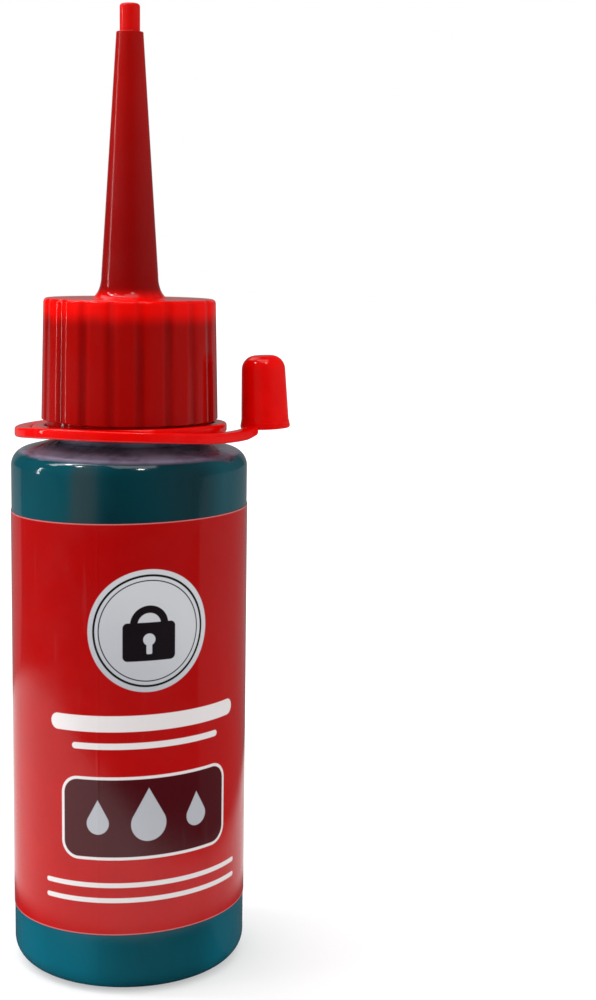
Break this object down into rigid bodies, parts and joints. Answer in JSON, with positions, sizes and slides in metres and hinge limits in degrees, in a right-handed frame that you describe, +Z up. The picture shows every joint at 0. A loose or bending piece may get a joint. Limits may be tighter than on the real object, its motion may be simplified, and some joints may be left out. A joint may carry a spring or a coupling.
{
  "type": "lock lubricant bottle",
  "caption": "Small squeeze bottle of graphite lock lubricant with a wrap-round label, a fluted screw cap with a long narrow nozzle, and a tip cap on a flexible tether.",
  "frame": {"origin": "middle of the flat base", "axes": "+Z up along the bottle, the front of the label at -Y, the tip cap at +X"},
  "size_m": [0.0404, 0.0344, 0.1382],
  "materials": {
    "bottle_plastic": "soft gloss, dark teal",
    "label_film": null,
    "lubricant": "dark graphite fluid",
    "foam": "closed-cell foam",
    "cap_plastic": "glossy translucent red",
    "tether_plastic": "glossy bright red"
  },
  "bodies": {
    "bottle": {"bottle": "bottle_plastic", "label": "label_film", "lubricant": "lubricant"},
    "seal": {"sealing_washer": "foam"},
    "cap": {"nozzle_cap": "cap_plastic"},
    "ring": {"tether_ring": "tether_plastic"},
    "strap_1": {"strap_link_1": "tether_plastic"},
    "strap_2": {"strap_link_2": "tether_plastic"},
    "strap_3": {"strap_link_3": "tether_plastic"},
    "strap_4": {"strap_link_4": "tether_plastic"},
    "strap_5": {"strap_link_5": "tether_plastic"},
    "strap_6": {"strap_link_6": "tether_plastic"},
    "strap_7": {"strap_link_7": "tether_plastic"},
    "strap_8": {"strap_link_8": "tether_plastic"},
    "strap_9": {"strap_link_9": "tether_plastic"},
    "strap_10": {"strap_link_10": "tether_plastic"},
    "strap_11": {"strap_link_11": "tether_plastic"},
    "strap_12": {"strap_link_12": "tether_plastic"},
    "tip": {"tip_cap": "tether_plastic"}
  },
  "joints": [
    {"name": "cap_lift", "type": "slide", "parent": "bottle", "child": "seal", "axis": [0, 0, 1], "range_m": [0, 0.0175]},
    {"name": "cap_turn", "type": "hinge", "parent": "seal", "child": "cap", "pos_m": [0, 0, 0.0802], "axis": [0, 0, 1], "range_deg": [0, 1980]},
    {"name": "tether_spin", "type": "hinge", "parent": "cap", "child": "ring", "pos_m": [0, 0, 0.0792], "axis": [0, 0, 1], "continuous": true},
    {"name": "strap_bend_1", "type": "hinge", "parent": "ring", "child": "strap_1", "pos_m": [-0.00314, 0.01615, 0.07983], "axis": [-0.6966, 0.3902, -0.6021], "range_deg": [0, 47.7]},
    {"name": "strap_bend_2", "type": "hinge", "parent": "strap_1", "child": "strap_2", "pos_m": [-0.00847, 0.0141, 0.07983], "axis": [-0.7993, 0.193, -0.5691], "range_deg": [0, 49.27]},
    {"name": "strap_bend_3", "type": "hinge", "parent": "strap_2", "child": "strap_3", "pos_m": [-0.01119, 0.00906, 0.07983], "axis": [-0.9676, -0.1104, 0.227], "range_deg": [0, 41.75]},
    {"name": "strap_bend_4", "type": "hinge", "parent": "strap_3", "child": "strap_4", "pos_m": [-0.01362, 0.00469, 0.07983], "axis": [-0.6837, -0.5028, 0.5288], "range_deg": [0, 42.13]},
    {"name": "strap_bend_5", "type": "hinge", "parent": "strap_4", "child": "strap_5", "pos_m": [-0.01645, -0.00029, 0.07838], "axis": [0.34, -0.8274, -0.447], "range_deg": [0, 35.47]},
    {"name": "strap_bend_6", "type": "hinge", "parent": "strap_5", "child": "strap_6", "pos_m": [-0.01536, -0.0059, 0.07838], "axis": [0.7403, -0.3513, -0.5732], "range_deg": [0, 49.19]},
    {"name": "strap_bend_7", "type": "hinge", "parent": "strap_6", "child": "strap_7", "pos_m": [-0.01242, -0.01079, 0.07838], "axis": [0.6554, -0.3366, -0.6761], "range_deg": [0, 42.28]},
    {"name": "strap_bend_8", "type": "hinge", "parent": "strap_7", "child": "strap_8", "pos_m": [-0.00798, -0.01439, 0.07983], "axis": [0.3613, -0.6673, -0.6513], "range_deg": [0, 44.34]},
    {"name": "strap_bend_9", "type": "hinge", "parent": "strap_8", "child": "strap_9", "pos_m": [-0.00257, -0.01625, 0.07983], "axis": [0.0652, -0.6721, -0.7376], "range_deg": [0, 39.15]},
    {"name": "strap_bend_10", "type": "hinge", "parent": "strap_9", "child": "strap_10", "pos_m": [0.00314, -0.01615, 0.07983], "axis": [-0.3476, -0.4104, -0.8431], "range_deg": [0, 33.97]},
    {"name": "strap_bend_11", "type": "hinge", "parent": "strap_10", "child": "strap_11", "pos_m": [0.00847, -0.0141, 0.07838], "axis": [-0.6511, 0.0218, -0.7587], "range_deg": [0, 37.28]},
    {"name": "strap_bend_12", "type": "hinge", "parent": "strap_11", "child": "strap_12", "pos_m": [0.01278, -0.01035, 0.07838], "axis": [-0.9062, 0.0915, -0.4128], "range_deg": [0, 36.8]},
    {"name": "strap_bend_13", "type": "hinge", "parent": "strap_12", "child": "tip", "pos_m": [0.01387, -0.00576, 0.07838], "axis": [-0.9311, 0.0485, 0.3616], "range_deg": [0, 37.48]}
  ],
  "couplings": [
    {"joint": "cap_lift", "follows": "cap_turn", "m_per_rad": 0.00050611},
    {"joint": "strap_bend_2", "follows": "strap_bend_1", "ratio": 1.0326},
    {"joint": "strap_bend_3", "follows": "strap_bend_1", "ratio": 0.87482},
    {"joint": "strap_bend_4", "follows": "strap_bend_1", "ratio": 0.88296},
    {"joint": "strap_bend_5", "follows": "strap_bend_1", "ratio": 0.74318},
    {"joint": "strap_bend_6", "follows": "strap_bend_1", "ratio": 1.0309},
    {"joint": "strap_bend_7", "follows": "strap_bend_1", "ratio": 0.88595},
    {"joint": "strap_bend_8", "follows": "strap_bend_1", "ratio": 0.92916},
    {"joint": "strap_bend_9", "follows": "strap_bend_1", "ratio": 0.8204},
    {"joint": "strap_bend_10", "follows": "strap_bend_1", "ratio": 0.71181},
    {"joint": "strap_bend_11", "follows": "strap_bend_1", "ratio": 0.78115},
    {"joint": "strap_bend_12", "follows": "strap_bend_1", "ratio": 0.77121},
    {"joint": "strap_bend_13", "follows": "strap_bend_1", "ratio": 0.7853}
  ]
}
